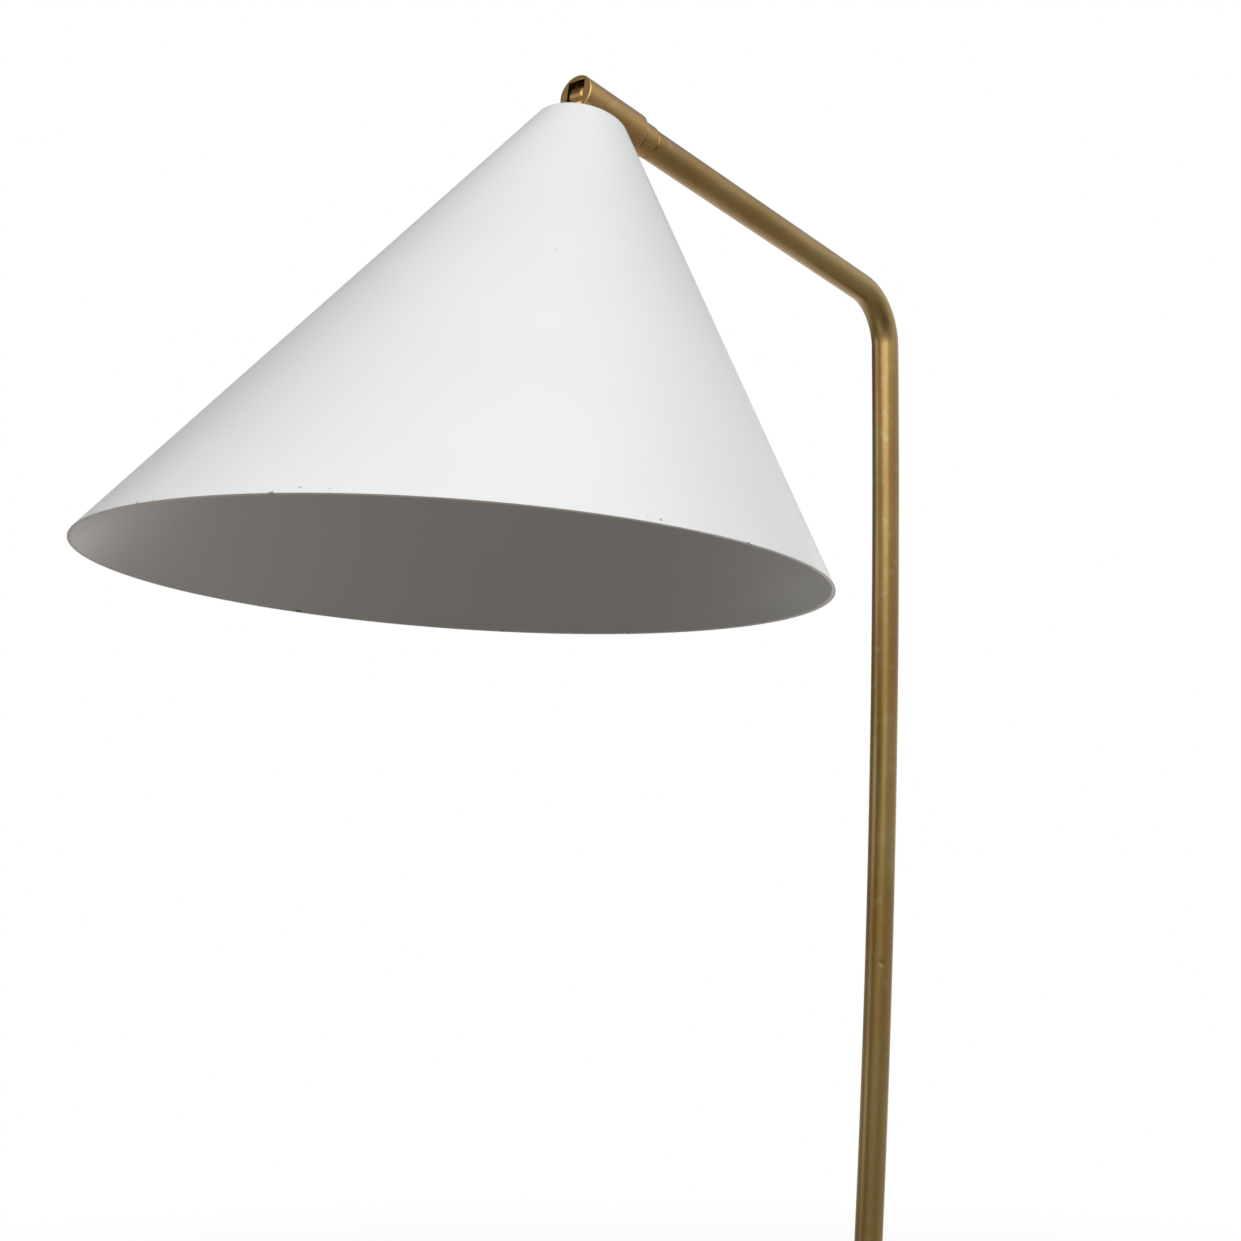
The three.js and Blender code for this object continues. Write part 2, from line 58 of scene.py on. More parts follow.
BODY_OF = {node: body for body, members in BODIES.items() for node in members}
JOINTS = {joint["name"]: joint for joint in frame["joints"]}

# Driving dimensions, in millimetres ----------------------------------------------------------
GAP = 0.3
TUBE_RADIUS = 8
TUBE_WALL = 1.2
TUBE_BORE = TUBE_RADIUS - TUBE_WALL
BEND_RADIUS = 32
BOW_RADIUS = 5250
STEM_LEAN = math.radians(0.3)
COUPLER_AT = 640                # along the stem from the end of the bend
COUPLER_RING = 3
HUB_AT = 895
DENT_AT = 366                   # a small knock in the stem's side
DENT_ANGLE = math.radians(224)

TUBE_END = 229.6                # along the arm from the corner
HEAD_START = 240.6
HEAD_END = 287
HEAD_RADIUS = 10.2
COLLAR_RADIUS = 8.6
SPIGOT_RADIUS = 5
SLOT_START = 268
SLOT_WIDTH = 10.6
SLOT_ROOF = 7
STOP_SCREW_AT = SLOT_START - 7.75
PIVOT_AT = 282
PIN_RADIUS = 1.5
PIN_REACH = 8.2                 # the pin's hole is blind on the near cheek
SMALL_SCREW_RADIUS = 1.6
SMALL_SCREW_LENGTH = 5
SMALL_SCREW_HOLE = 1.9

SWITCH_AT = -53                 # along the shade's axis
SHADE_HALF_ANGLE = math.radians(31)
SHADE_APEX = 23
SHADE_TOP = -14.5
SHADE_FILLET = 3
SHADE_WALL = 0.8
SHADE_PLATE = 1
RIM_AT = -256.5
RIM_SLANT = math.radians(10.7)
RIM_THICKNESS = 1.6
NIPPLE_RADIUS = 5

HUB_RADIUS = 24
LEG_RADIUS = 7
LEG_WALL = 1.2
LEG_TOP_OFFSET = 10
FOOT_SPREAD = 265
FOOT_RADIUS = 8.4
LEGS = {"front": math.pi, "left": math.pi / 3, "right": -math.pi / 3}

# The camera, from where the arm's line meets the stem's line, in metres ------------------------
CAMERA_OFFSET = Vector((-0.9872, -0.6226, -0.2915))
CAMERA_HEADING = math.radians(-49.91)
CAMERA_PITCH = math.radians(4.92)
CAMERA_LENS = 56.57


# Frames --------------------------------------------------------------------------------------
def turned_about_y(angle, origin):
    return Matrix.Translation(origin) @ Matrix.Rotation(angle, 4, "Y")


def at(base, x=0, y=0, z=0, axis="Z", angle=0):
    """A frame inside another one: shifted in millimetres, then turned about one of its axes."""
    return base @ Matrix.Translation(Vector((x, y, z)) * MM) @ Matrix.Rotation(angle, 4, axis)


# Headings are measured from straight down, positive towards +X.
arm_axis = Vector(JOINTS["head_swivel"]["axis"]).normalized()
arm_heading = math.atan2(-arm_axis.x, arm_axis.z)
pivot = Vector(JOINTS["shade_tilt"]["pos_m"])
corner = pivot - arm_axis * PIVOT_AT * MM
arm_frame = turned_about_y(-arm_heading, corner)

knob_axis = Vector(JOINTS["switch_turn"]["axis"]).normalized()
shade_tilt = math.asin(knob_axis.z)
shade_axis = Vector((math.sin(shade_tilt), 0, math.cos(shade_tilt)))
shade_origin = Vector(JOINTS["switch_turn"]["pos_m"]) - shade_axis * SWITCH_AT * MM
shade_frame = turned_about_y(shade_tilt, shade_origin)

hub_low, hub_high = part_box("hub_body")
hub_frame = Matrix.Translation((hub_low + hub_high) / 2)

bend_turn = arm_heading + STEM_LEAN
bend_length = bend_turn * BEND_RADIUS
bend_reach = BEND_RADIUS * math.tan(bend_turn / 2)


def arc_point(start, radius, from_heading, to_heading):
    dx = radius * MM * (math.cos(to_heading) - math.cos(from_heading))
    dz = radius * MM * (math.sin(to_heading) - math.sin(from_heading))
    return start + Vector((dx, 0, dz))


bend_end = arc_point(corner + arm_axis * bend_reach * MM, BEND_RADIUS, arm_heading, -STEM_LEAN)


def stem_heading(run):
    """run is the distance from the end of the bend: positive down the stem, negative round the bend."""
    if run >= 0:
        return -STEM_LEAN - run / BOW_RADIUS
    return min(-STEM_LEAN - run / BEND_RADIUS, arm_heading)


def stem_point(run):
    if run >= 0:
        return arc_point(bend_end, BOW_RADIUS, -STEM_LEAN, stem_heading(run))
    if run >= -bend_length:
        return arc_point(bend_end, BEND_RADIUS, -STEM_LEAN, stem_heading(run))
    return corner + arm_axis * (bend_reach - run - bend_length) * MM


def stem_frame(run):
    return turned_about_y(-stem_heading(run), stem_point(run))


def leg_frame(angle):
    centre = hub_frame.translation
    outward = Vector((math.cos(angle), math.sin(angle), 0))
    foot = Vector((centre.x, centre.y, 0)) + outward * FOOT_SPREAD * MM
    head = centre + outward * LEG_TOP_OFFSET * MM - Vector((0, 0, 3 * MM))
    along = head - foot
    turn = Vector((0, 0, 1)).rotation_difference(along.normalized())
    return Matrix.Translation(foot) @ turn.to_matrix().to_4x4(), along.length / MM


# Outlines ------------------------------------------------------------------------------------
def spaced(low, high, steps):
    return [low + (high - low) * i / steps for i in range(steps + 1)]


def arc(centre_radius, centre_z, radius, start, end, steps=12):
    return [
        (centre_radius + radius * math.cos(angle), centre_z + radius * math.sin(angle))
        for angle in spaced(start, end, steps)
    ]


def rounded(corners, radius, steps=4):
    """A closed outline whose corners become small arcs. Corners on the axis, and flat ones, stay."""
    outline = []
    for i, here in enumerate(corners):
        before = Vector(corners[i - 1]) - Vector(here)
        after = Vector(corners[(i + 1) % len(corners)]) - Vector(here)
        if here[0] <= 0 or before.length < 1e-6 or after.length < 1e-6:
            outline.append(here)
            continue
        angle = before.angle(after)
        if angle > math.radians(160):
            outline.append(here)
            continue
        reach = min(radius / math.tan(angle / 2), 0.45 * before.length, 0.45 * after.length)
        start = Vector(here) + before.normalized() * reach
        end = Vector(here) + after.normalized() * reach
        for t in spaced(0, 1, steps):
            point = start * (1 - t) ** 2 + Vector(here) * 2 * t * (1 - t) + end * t * t
            outline.append((point.x, point.y))
    return outline


def threaded(radius, low, high, pitch, depth, angle, steps_per_turn=8):
    """One side of a screw thread: the crest climbs by one pitch in each turn."""
    stations = spaced(low, high, round(abs(high - low) / pitch * steps_per_turn))
    fade = 0.8 * pitch
    points = []
    for z in stations:
        wave = 0.5 - 0.5 * math.cos(TURN * z / pitch - angle)
        near_end = min(abs(z - low), abs(high - z), fade) / fade
        points.append((radius - depth * wave * near_end, z))
    return points


def hexagon(across_flats, angle):
    sector = TURN / 6
    return across_flats / 2 / math.cos((angle + sector / 2) % sector - sector / 2)


# Meshes --------------------------------------------------------------------------------------
def face_outwards(mesh):
    shell = bmesh.new()
    shell.from_mesh(mesh)
    bmesh.ops.recalc_face_normals(shell, faces=shell.faces)
    shell.to_mesh(mesh)
    shell.free()


def make_piece(name, vertices, faces, place):
    """A piece from vertices in millimetres in the frame called place."""
    mesh = bpy.data.meshes.new(name)
    mesh.from_pydata([Vector(vertex) * MM for vertex in vertices], [], faces)
    face_outwards(mesh)
    mesh.shade_smooth()
    piece = bpy.data.objects.new(name, mesh)
    piece.matrix_world = place
    bpy.context.scene.collection.objects.link(piece)
    return piece


def turned(name, outline, place, segments=96):
    """A solid of revolution about local Z. The closed outline lists (radius, z), or is a function
    that gives such a list for each angle."""
    angles = [TURN * i / segments for i in range(segments)]
    rings = [outline(angle) if callable(outline) else outline for angle in angles]
    count = len(rings[0])
    on_axis = [rings[0][k][0] < 1e-6 for k in range(count)]
    vertices = []
    index = {}
    for k in range(count):
        for i, angle in enumerate(angles):
            if on_axis[k] and i:
                index[k, i] = index[k, 0]
                continue
            radius, z = rings[i][k]
            index[k, i] = len(vertices)
            vertices.append((radius * math.cos(angle), radius * math.sin(angle), z))
    faces = []
    for k in range(count):
        after = (k + 1) % count
        if on_axis[k] and on_axis[after]:
            continue
        for i in range(segments):
            j = (i + 1) % segments
            loop = (index[k, i], index[k, j], index[after, j], index[after, i])
            faces.append(list(dict.fromkeys(loop)))
    return make_piece(name, vertices, faces, place)


def rod(name, radius, low, high, place, edge=0.3, segments=64):
    corners = [(0, low), (radius, low), (radius, high), (0, high)]
    return turned(name, rounded(corners, edge), place, segments)


def sleeve(name, inner, outer, low, high, place, edge=0.25, segments=96):
    corners = [(inner, low), (outer, low), (outer, high), (inner, high)]
    return turned(name, rounded(corners, edge), place, segments)


def block(name, size, centre, place):
    corners = [(x, y, z) for x in (-0.5, 0.5) for y in (-0.5, 0.5) for z in (-0.5, 0.5)]
    vertices = [tuple(c + s * k for c, s, k in zip(centre, size, corner)) for corner in corners]
    faces = [(0, 1, 3, 2), (4, 6, 7, 5), (0, 4, 5, 1), (2, 3, 7, 6), (0, 2, 6, 4), (1, 5, 7, 3)]
    return make_piece(name, vertices, faces, place)


def keep_result(piece):
    """The piece's modifiers become its mesh."""
    bpy.context.view_layer.update()
    seen = piece.evaluated_get(bpy.context.evaluated_depsgraph_get())
    mesh = bpy.data.meshes.new_from_object(seen)
    piece.modifiers.clear()
    piece.data = mesh


def combine(piece, operation, tools):
    for tool in tools:
        step = piece.modifiers.new(operation, "BOOLEAN")
        step.operation = operation
        step.solver = "EXACT"
        step.object = tool
    keep_result(piece)
    for tool in tools:
        bpy.data.objects.remove(tool)
    return piece


def cut(piece, *tools):
    return combine(piece, "DIFFERENCE", tools)


def join(piece, *tools):
    return combine(piece, "UNION", tools)


def soften(piece, width, steps=2):
    """Sharp edges get a small round, in millimetres."""
    bevel = piece.modifiers.new("soften", "BEVEL")
    bevel.width = width * MM
    bevel.segments = steps
    bevel.limit_method = "ANGLE"
    bevel.angle_limit = math.radians(38)
    bevel.use_clamp_overlap = True
    keep_result(piece)
    piece.data.shade_smooth()
    return piece


def stand_in(piece, node, material):
    """The piece is shown in place of a CAD node, and moves with that node's body."""
    piece.data.materials.clear()
    piece.data.materials.append(material)
    piece.modifiers.new("even shading", "WEIGHTED_NORMAL").keep_sharp = True
    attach(piece, BODY_OF[node])
    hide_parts(node)
    return piece


# Materials -----------------------------------------------------------------------------------
class Surface:
    """A Principled material whose colour, roughness and bump come from layers of noise."""

    def __init__(self, name, **sockets):
        self.material = bpy.data.materials.new(name)
        self.material.use_nodes = True
        self.tree = self.material.node_tree
        self.shader = self.tree.nodes["Principled BSDF"]
        for socket, value in sockets.items():
            self.shader.inputs[socket.replace("_", " ")].default_value = value
        self.place = self.node("ShaderNodeTexCoord").outputs["Object"]

    def node(self, kind, **settings):
        made = self.tree.nodes.new(kind)
        for setting, value in settings.items():
            setattr(made, setting, value)
        return made

    def link(self, value, socket):
        self.tree.links.new(value, socket)

    def follow(self, attribute):
        """Patterns follow a stored vector, such as the way along a bent tube."""
        self.place = self.node("ShaderNodeAttribute", attribute_name=attribute).outputs["Vector"]

    def noise(self, scale, detail=3, stretch=(1, 1, 1), distortion=0):
        """Noise from 0 to 1. scale is in features for each metre."""
        mapping = self.node("ShaderNodeMapping")
        mapping.inputs["Scale"].default_value = stretch
        self.link(self.place, mapping.inputs["Vector"])
        made = self.node("ShaderNodeTexNoise")
        made.inputs["Scale"].default_value = scale
        made.inputs["Detail"].default_value = detail
        made.inputs["Distortion"].default_value = distortion
        self.link(mapping.outputs["Vector"], made.inputs["Vector"])
        return made.outputs["Fac"]

    def spots(self, scale, size, softness=0.05):
        """1 in scattered round spots, 0 between them."""
        made = self.node("ShaderNodeTexVoronoi")
        made.inputs["Scale"].default_value = scale
        self.link(self.place, made.inputs["Vector"])
        return self.spread(made.outputs["Distance"], size, size + softness, 1, 0)

    def spread(self, value, low, high, to_low=0, to_high=1):
        made = self.node("ShaderNodeMapRange", interpolation_type="SMOOTHSTEP")
        self.link(value, made.inputs["Value"])
        limits = {"From Min": low, "From Max": high, "To Min": to_low, "To Max": to_high}
        for socket, number in limits.items():
            made.inputs[socket].default_value = number
        return made.outputs["Result"]

    def math(self, operation, first, second):
        made = self.node("ShaderNodeMath", operation=operation)
        for socket, value in zip(made.inputs, (first, second)):
            if isinstance(value, (int, float)):
                socket.default_value = value
            else:
                self.link(value, socket)
        return made.outputs["Value"]

    def mix(self, factor, first, second):
        """A colour between two, each of which is a colour or the output of another mix."""
        made = self.node("ShaderNodeMix", data_type="RGBA")
        self.link(factor, made.inputs["Factor"])
        for socket, value in zip(("A", "B"), (first, second)):
            target = [s for s in made.inputs if s.name == socket and s.type == "RGBA"][0]
            if isinstance(value, tuple):
                target.default_value = (*value, 1)
            else:
                self.link(value, target)
        return [s for s in made.outputs if s.type == "RGBA"][0]

    def colour(self, value):
        self.link(value, self.shader.inputs["Base Color"])

    def roughness(self, value):
        self.link(value, self.shader.inputs["Roughness"])

    def bump(self, *layers):
        """Each layer is (height output, depth in millimetres)."""
        normal = None
        for height, depth in layers:
            made = self.node("ShaderNodeBump")
            made.inputs["Distance"].default_value = depth * MM
            self.link(height, made.inputs["Height"])
            if normal:
                self.link(normal, made.inputs["Normal"])
            normal = made.outputs["Normal"]
        self.link(normal, self.shader.inputs["Normal"])


def tinted(colour, tint):
    return tuple(part * amount for part, amount in zip(colour, tint))


def aged_brass(name, follow=None, reflection_tint=(1, 1, 1)):
    """Satin brass: long polishing marks, a warm uneven patina and a few dark freckles. The tint brightens
    and warms the three colours, a painted reflection.
    """
    surface = Surface(name, Metallic=1, Coat_Weight=0.6, Coat_Roughness=0.22)
    if follow:
        surface.follow(follow)
    patina = surface.noise(22, 5, stretch=(1, 1, 0.35), distortion=0.4)
    cloud = surface.noise(140, 4)
    streak = surface.noise(1500, 3, stretch=(1, 1, 0.02))
    freckle = surface.spots(260, 0.04)
    # the tint makes a brighter, warmer copy of the brass colours: painted reflection light
    bright = tinted((0.52, 0.365, 0.135), reflection_tint)
    worn = tinted((0.57, 0.44, 0.22), reflection_tint)
    dark = tinted((0.39, 0.235, 0.066), reflection_tint)
    base = surface.mix(surface.spread(patina, 0.36, 0.66), dark, bright)
    base = surface.mix(surface.spread(cloud, 0.52, 0.78, 0, 0.6), base, worn)
    base = surface.mix(surface.spread(streak, 0.35, 0.75, 0, 0.3), base, dark)
    freckled = surface.math("MULTIPLY", freckle, surface.spread(cloud, 0.5, 0.6))
    surface.colour(surface.mix(freckled, base, (0.16, 0.09, 0.035)))
    rough = surface.spread(streak, 0.3, 0.7, 0.34, 0.38)
    surface.roughness(surface.math("ADD", rough, surface.spread(patina, 0.3, 0.7, 0.08, 0.0)))
    surface.bump((streak, 0.0008), (cloud, 0.008))
    return surface.material


def white_paint():
    """Satin white paint: faint orange peel, dust nibs, and small chips along the rim."""
    surface = Surface("white_paint")
    tint = surface.noise(9, 3)
    peel = surface.noise(900, 2)
    nib = surface.spots(55, 0.028, 0.012)
    chip = surface.noise(170, 2)
    rim = surface.node("ShaderNodeAttribute", attribute_name="rim").outputs["Fac"]
    base = surface.mix(surface.spread(tint, 0.3, 0.7), (0.845, 0.865, 0.855), (0.875, 0.89, 0.885))
    base = surface.mix(surface.math("MULTIPLY", nib, 0.35), base, (0.45, 0.44, 0.42))
    # the rim's cut edge, within about half a millimetre, is mixed towards a warm beige
    base = surface.mix(surface.spread(rim, 0.86, 1.0, 0, 0.55), base, (0.70, 0.62, 0.52))
    chipped = surface.math("MULTIPLY", surface.spread(chip, 0.70, 0.72), surface.spread(rim, 0.55, 0.7))
    surface.colour(surface.mix(chipped, base, (0.42, 0.41, 0.39)))
    surface.roughness(surface.spread(tint, 0.3, 0.7, 0.29, 0.35))
    surface.bump((peel, 0.008), (nib, 0.05), (surface.math("SUBTRACT", 1, chipped), 0.12))
    return surface.material


def plain_metal(name, light, dark, low, high):
    surface = Surface(name, Metallic=1)
    cloud = surface.noise(120, 4)
    streak = surface.noise(1800, 2, stretch=(1, 1, 0.05))
    base = surface.mix(surface.spread(cloud, 0.35, 0.7), dark, light)
    surface.colour(base)
    surface.roughness(surface.spread(streak, 0.3, 0.7, low, high))
    surface.bump((streak, 0.004), (cloud, 0.01))
    return surface.material


def moulded(name, light, dark, low, high, grain=1400, depth=0.02, **sockets):
    """Plastic, rubber, fibre or porcelain: a fine grain over a slow change of tone."""
    surface = Surface(name, **sockets)
    cloud = surface.noise(60, 4)
    fine = surface.noise(grain, 3)
    base = surface.mix(surface.spread(cloud, 0.35, 0.7), dark, light)
    surface.colour(base)
    surface.roughness(surface.spread(fine, 0.3, 0.7, low, high))
    surface.bump((fine, depth))
    return surface.material


# The fittings use a brightened, warmer copy of the brass, a painted reflection of the white shade on the
# head; the tube's brass has no tint.
BRASS = aged_brass("aged_brass", reflection_tint=(1.15, 1.06, 1.02))
TUBE_BRASS = aged_brass("aged_brass_tube", follow="unbent")
PAINT = white_paint()
STEEL = plain_metal("steel", (0.50, 0.49, 0.47), (0.33, 0.32, 0.30), 0.30, 0.42)
NICKEL = plain_metal("nickel", (0.66, 0.63, 0.57), (0.50, 0.47, 0.42), 0.22, 0.34)
FIBRE = moulded("fibre", (0.21, 0.095, 0.040), (0.13, 0.056, 0.024), 0.70, 0.90, 700, 0.05)
RESIN = moulded("black_resin", (0.020, 0.018, 0.016), (0.010, 0.009, 0.008), 0.42, 0.58, 1400, 0.02)
RUBBER = moulded("rubber", (0.022, 0.021, 0.020), (0.012, 0.012, 0.011), 0.72, 0.90, 900, 0.05)
PORCELAIN = moulded("porcelain", (0.80, 0.77, 0.70), (0.72, 0.69, 0.62), 0.22, 0.32, 500, 0.01)
OPAL = moulded("opal_glass", (0.90, 0.88, 0.83), (0.84, 0.82, 0.77), 0.18, 0.26, 200, 0.01,
               Coat_Weight=0.5, Coat_Roughness=0.12)


# Stem ----------------------------------------------------------------------------------------
def bend_along_stem(piece):
    """Takes a straight turned piece, whose local Z is the run down the stem, to its bent place.
    The straight coordinates stay as an attribute, so that patterns follow the tube."""
    mesh = piece.data
    straight = [vertex.co.copy() for vertex in mesh.vertices]
    stored = mesh.attributes.new("unbent", "FLOAT_VECTOR", "POINT")
    stored.data.foreach_set("vector", [value for point in straight for value in point])
    for vertex, point in zip(mesh.vertices, straight):
        run = point.z / MM
        heading = stem_heading(run)
        side = Vector((math.cos(heading), 0, math.sin(heading)))
        vertex.co = stem_point(run) + side * point.x + Vector((0, point.y, 0))
    face_outwards(mesh)


def tube_outline(stations, chamfer):
    """Both walls of a tube through the stations, with eased ends. The outer edge at the start has
    its own chamfer."""
    edge = 0.25
    start, end = stations[0], stations[-1]
    inside = stations[1:-1]

    def outline(angle):
        across = (angle - DENT_ANGLE) * TUBE_RADIUS
        points = [(TUBE_RADIUS, start + chamfer)]
        for run in inside:
            along = run - DENT_AT
            dent = 0.22 * math.exp(-((along + across) / 2.6) ** 2 - ((along - across) / 1.3) ** 2)
            points.append((TUBE_RADIUS - dent, run))
        points += [(TUBE_RADIUS, end - edge), (TUBE_RADIUS - edge, end)]
        points += [(TUBE_BORE + edge, end), (TUBE_BORE, end - edge)]
        points += [(TUBE_BORE, run) for run in reversed(inside)]
        points += [(TUBE_BORE, start + edge), (TUBE_BORE + edge, start), (TUBE_RADIUS - chamfer, start)]
        return points
    return outline


def build_stem():
    joint_line = 0.45
    arm_start = bend_reach - TUBE_END - bend_length + joint_line
    upper_end = COUPLER_AT - COUPLER_RING - GAP
    upper = (spaced(arm_start, -bend_length, 10) + spaced(-bend_length, 0, 36)[1:]
             + spaced(0, DENT_AT - 12, 18)[1:] + spaced(DENT_AT - 12, DENT_AT + 12, 32)[1:]
             + spaced(DENT_AT + 12, upper_end, 16)[1:])
    lower = spaced(COUPLER_AT + COUPLER_RING + GAP, HUB_AT - 5, 14)
    identity = Matrix.Identity(4)
    for node, stations, chamfer in (("stem_upper_tube", upper, 0.7), ("stem_lower_tube", lower, 0.25)):
        tube = turned("fine_" + node, tube_outline(stations, chamfer), identity, 96)
        bend_along_stem(tube)
        stand_in(tube, node, TUBE_BRASS)

    plug = 28
    ring = TUBE_RADIUS + 0.6
    fit = TUBE_BORE - GAP
    coupler = turned("fine_stem_coupler", rounded([
        (3, -plug), (fit - 0.8, -plug), (fit, -plug + 1.5), (fit, -COUPLER_RING),
        (ring, -COUPLER_RING), (ring, COUPLER_RING), (fit, COUPLER_RING),
        (fit, plug - 1.5), (fit - 0.8, plug), (3, plug),
    ], 0.5), stem_frame(COUPLER_AT))
    stand_in(coupler, "stem_coupler", BRASS)


# Swivel head ---------------------------------------------------------------------------------
def grub_screw(name, radius, length, place):
    """A headless screw with a driver slot in its end."""
    ease = 0.3
    pitch = 0.7
    thread_depth = 0.18
    slot_size = (2 * radius + 1, 0.6, 1.6)
    screw = turned(name, lambda angle: [
        (0, 0), (radius - ease, 0), *threaded(radius, ease, length - ease, pitch, thread_depth, angle),
        (radius - ease, length), (0, length),
    ], place, 48)
    return cut(screw, block("slot_tool", slot_size, (0, 0, length), place))


def small_screw(name, depth, run):
    """A grub screw in the far side of the collar or the head, from depth outwards."""
    place = at(arm_frame, y=depth, z=run, axis="X", angle=-QUARTER)
    return grub_screw(name, SMALL_SCREW_RADIUS, SMALL_SCREW_LENGTH, place)


def build_swivel():
    collar_start = TUBE_END + GAP
    collar_end = HEAD_START - 1
    fit = TUBE_BORE - GAP
    wire = 2.2
    plug_end = TUBE_END - 24
    chamfer = 0.9
    groove_radius = SPIGOT_RADIUS - 1.2
    groove_low = SLOT_START - 10
    groove_high = SLOT_START - 5.6
    tip = SLOT_START - 4.5
    spigot = turned("fine_swivel_spigot", rounded([
        (wire, plug_end), (fit - 1, plug_end), (fit, plug_end + 1), (fit, collar_start),
        (COLLAR_RADIUS - chamfer, collar_start), (COLLAR_RADIUS, collar_start + chamfer),
        (COLLAR_RADIUS, collar_end), (SPIGOT_RADIUS, collar_end), (SPIGOT_RADIUS, groove_low),
        (groove_radius, groove_low), (groove_radius, groove_high), (SPIGOT_RADIUS, groove_high),
        (SPIGOT_RADIUS, tip), (wire, tip),
    ], 0.35), arm_frame)
    screw_at = (collar_start + collar_end) / 2
    sideways = at(arm_frame, z=screw_at, axis="X", angle=-QUARTER)
    cut(spigot, rod("hole_tool", SMALL_SCREW_HOLE, 0, COLLAR_RADIUS + 1, sideways))
    stand_in(spigot, "swivel_spigot", BRASS)
    collar_screw_depth = 3.2
    stand_in(small_screw("fine_collar_screw", collar_screw_depth, screw_at), "collar_screw", STEEL)

    washer = sleeve("fine_swivel_washer", SPIGOT_RADIUS + GAP, COLLAR_RADIUS - 0.1,
                    collar_end + 0.2, HEAD_START - 0.2, arm_frame, 0.1)
    stand_in(washer, "swivel_washer", FIBRE)
    build_knuckle()


def build_knuckle():
    fillet = 2
    nose = 0.8
    blank = turned("fine_head_knuckle", [
        (0, HEAD_START), *arc(HEAD_RADIUS - fillet, HEAD_START + fillet, fillet, -QUARTER, 0, 8),
        *arc(HEAD_RADIUS - nose, HEAD_END - nose, nose, 0, QUARTER, 6), (0, HEAD_END),
    ], arm_frame, 128)
    slot_depth = HEAD_END - SLOT_START + 1
    slot_height = HEAD_RADIUS + SLOT_ROOF + 1
    slot_centre = (SLOT_ROOF - slot_height / 2, 0, SLOT_START + slot_depth / 2)
    across = at(arm_frame, z=PIVOT_AT, axis="X", angle=QUARTER)
    sideways = at(arm_frame, z=STOP_SCREW_AT, axis="X", angle=-QUARTER)
    reach = HEAD_RADIUS + 1
    cut(
        blank,
        rod("spigot_tool", SPIGOT_RADIUS + GAP, HEAD_START - 1, SLOT_START - 4, arm_frame),
        rod("wire_tool", 2, SLOT_START - 5, SLOT_START + 1, arm_frame),
        block("slot_tool", (slot_height, SLOT_WIDTH, slot_depth), slot_centre, arm_frame),
        rod("pin_tool", PIN_RADIUS + 0.2, -reach, PIN_REACH + 0.2, across, segments=40),
        rod("stop_tool", SMALL_SCREW_HOLE, 0, reach, sideways, segments=40),
    )
    soften(blank, 0.3)
    stand_in(blank, "head_knuckle", BRASS)

    stop_screw_depth = 4.6
    stop_screw = small_screw("fine_head_stop_screw", stop_screw_depth, STOP_SCREW_AT)
    stand_in(stop_screw, "head_stop_screw", STEEL)
    far = HEAD_RADIUS - 0.7
    pin = turned("fine_pivot_pin", rounded([
        (0, -far), (PIN_RADIUS, -far), (PIN_RADIUS, PIN_REACH), (0, PIN_REACH),
    ], 0.35), across, 40)
    stand_in(pin, "pivot_pin", STEEL)


# Shade and its mount -------------------------------------------------------------------------
washer_low = SHADE_TOP + GAP
washer_high = washer_low + 0.8
flange_low = washer_high + GAP
nipple_end = SHADE_TOP - 20
plate_underside = SHADE_TOP - SHADE_PLATE


def build_tongue():
    eye_radius = 5.3
    eye_width = SLOT_WIDTH - 0.8
    half = eye_width / 2
    round_over = 2.2
    to_pivot = shade_frame.inverted() @ pivot / MM
    across = at(shade_frame, x=to_pivot.x, z=to_pivot.z, axis="X", angle=QUARTER)
    edge = eye_radius - round_over
    eye = turned("fine_shade_tongue", [
        (0, -half), *arc(edge, -half + round_over, round_over, -QUARTER, 0, 8),
        *arc(edge, half - round_over, round_over, 0, QUARTER, 8), (0, half),
    ], across, 64)
    neck_height = to_pivot.z - flange_low - 1
    neck = block("neck_tool", (8, eye_width - 1, neck_height),
                 (to_pivot.x + 0.8, 0, to_pivot.z - neck_height / 2), shade_frame)
    soften(neck, 1.2, 4)
    flange = rod("flange_tool", 8, flange_low, flange_low + 1.5, shade_frame, 0.4, 96)
    stub = rod("stub_tool", NIPPLE_RADIUS - 0.6, plate_underside - 1, flange_low + 0.5, shade_frame)
    join(eye, neck, flange, stub)
    cut(eye, rod("pin_tool", PIN_RADIUS + 0.2, -eye_width, eye_width, across, segments=40))
    soften(eye, 0.25)
    stand_in(eye, "shade_tongue", BRASS)

    bore = 2.5
    nipple = turned("shade_nipple", lambda angle: [
        (bore, nipple_end), (NIPPLE_RADIUS - 0.5, nipple_end),
        *threaded(NIPPLE_RADIUS, nipple_end + 0.4, flange_low - 0.1, 1.0, 0.38, angle),
        (bore, flange_low - 0.1),
    ], shade_frame, 64)
    nipple.data.materials.append(BRASS)
    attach(nipple, "shade")


def hex_nut(name, across_flats, inner, low, high, place):
    """A nut with its corners turned off on both faces."""
    chamfer = 0.14 * across_flats / 2

    def outline(angle):
        flat = hexagon(across_flats, angle)
        face = min(flat, across_flats / 2 - 0.3)
        over = max(flat - across_flats / 2 + 0.3, 0) * 0.55
        low_side = min(chamfer, over)
        return [
            (inner + 0.4, low), (face, low), (flat, low + low_side), (flat, high - low_side), (face, high),
            (inner + 0.4, high), (inner, high - 0.4), (inner, low + 0.4),
        ]
    return turned(name, outline, place, 96)


